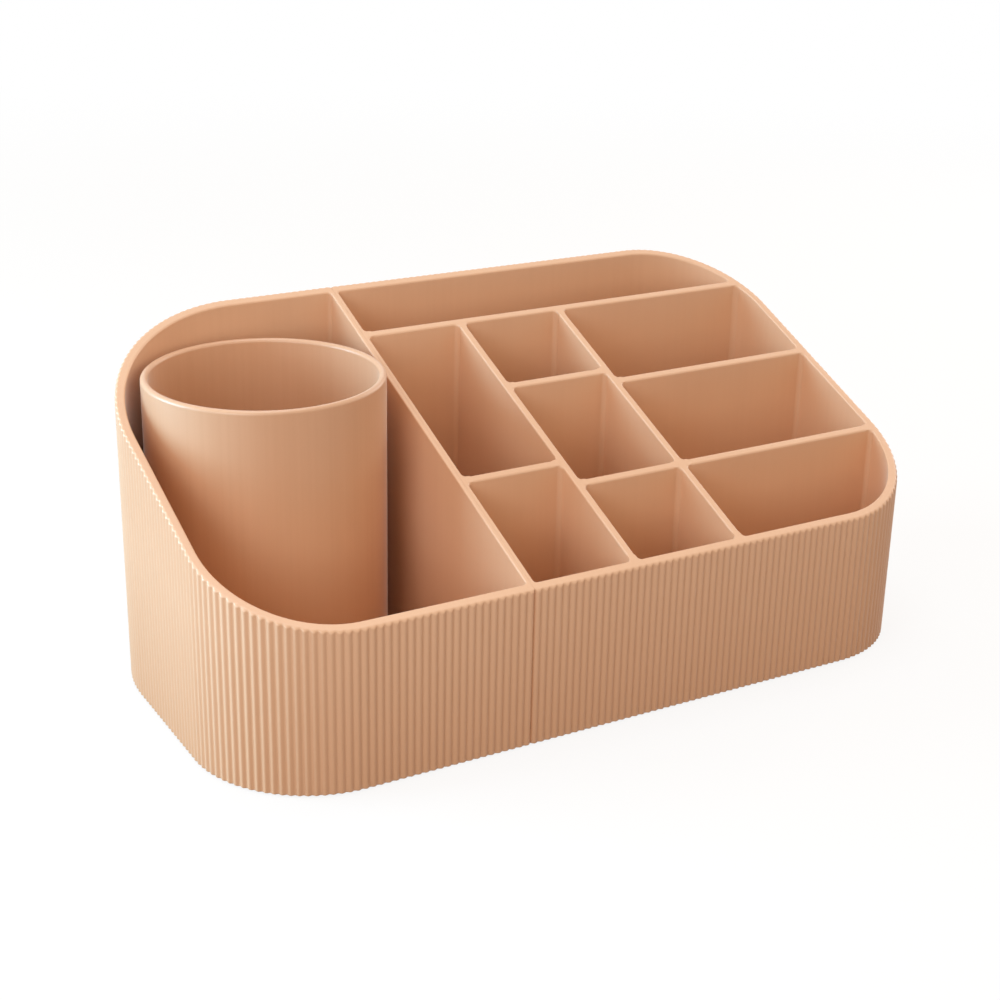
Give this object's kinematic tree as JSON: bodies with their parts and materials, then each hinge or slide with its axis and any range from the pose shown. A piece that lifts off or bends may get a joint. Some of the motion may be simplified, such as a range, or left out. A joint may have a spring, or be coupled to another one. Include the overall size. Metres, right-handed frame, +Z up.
{
  "type": "modular cosmetic organizer",
  "caption": "Ribbed vanity organizer of joined trays with a rim that slopes down to the front, a lift-out round cup and slot-in dividers that sort upright items.",
  "frame": {"origin": "middle of the footprint, at the face the feet rest on", "axes": "+X along the long front to the right, +Y to the high back, +Z up"},
  "size_m": [0.38, 0.212, 0.165],
  "materials": {
    "peach_plastic": "satin matte moulded plastic, warm peach",
    "silicone_feet": "soft milky silicone"
  },
  "bodies": {
    "right_tray_body": {"right_tray": "peach_plastic", "right_foot_1": "silicone_feet", "right_foot_2": "silicone_feet", "right_foot_3": "silicone_feet", "right_foot_4": "silicone_feet"},
    "left_tray_body": {"left_tray": "peach_plastic", "left_foot_1": "silicone_feet", "left_foot_2": "silicone_feet", "left_foot_3": "silicone_feet", "left_foot_4": "silicone_feet"},
    "round_cup_body": {"round_cup": "peach_plastic"},
    "back_row_divider_body": {"back_row_divider": "peach_plastic"},
    "left_column_divider_body": {"left_column_divider": "peach_plastic"},
    "right_column_divider_body": {"right_column_divider": "peach_plastic"},
    "rear_middle_divider_body": {"rear_middle_divider": "peach_plastic"},
    "rear_right_divider_body": {"rear_right_divider": "peach_plastic"},
    "front_left_divider_body": {"front_left_divider": "peach_plastic"},
    "front_middle_divider_body": {"front_middle_divider": "peach_plastic"},
    "front_right_divider_body": {"front_right_divider": "peach_plastic"}
  },
  "joints": [
    {"name": "left_tray_lift", "type": "slide", "parent": "right_tray_body", "child": "left_tray_body", "axis": [0, 0, 1], "range_m": [0, 0.06]},
    {"name": "round_cup_lift", "type": "slide", "parent": "left_tray_body", "child": "round_cup_body", "axis": [0, 0, 1], "range_m": [0, 0.17]},
    {"name": "back_row_divider_lift", "type": "slide", "parent": "right_tray_body", "child": "back_row_divider_body", "axis": [0, 0, 1], "range_m": [0, 0.152]},
    {"name": "left_column_divider_lift", "type": "slide", "parent": "right_tray_body", "child": "left_column_divider_body", "axis": [0, 0, 1], "range_m": [0, 0.15]},
    {"name": "right_column_divider_lift", "type": "slide", "parent": "right_tray_body", "child": "right_column_divider_body", "axis": [0, 0, 1], "range_m": [0, 0.15]},
    {"name": "rear_middle_divider_lift", "type": "slide", "parent": "right_tray_body", "child": "rear_middle_divider_body", "axis": [0, 0, 1], "range_m": [0, 0.132]},
    {"name": "rear_right_divider_lift", "type": "slide", "parent": "right_tray_body", "child": "rear_right_divider_body", "axis": [0, 0, 1], "range_m": [0, 0.128]},
    {"name": "front_left_divider_lift", "type": "slide", "parent": "right_tray_body", "child": "front_left_divider_body", "axis": [0, 0, 1], "range_m": [0, 0.11]},
    {"name": "front_middle_divider_lift", "type": "slide", "parent": "right_tray_body", "child": "front_middle_divider_body", "axis": [0, 0, 1], "range_m": [0, 0.104]},
    {"name": "front_right_divider_lift", "type": "slide", "parent": "right_tray_body", "child": "front_right_divider_body", "axis": [0, 0, 1], "range_m": [0, 0.104]}
  ]
}
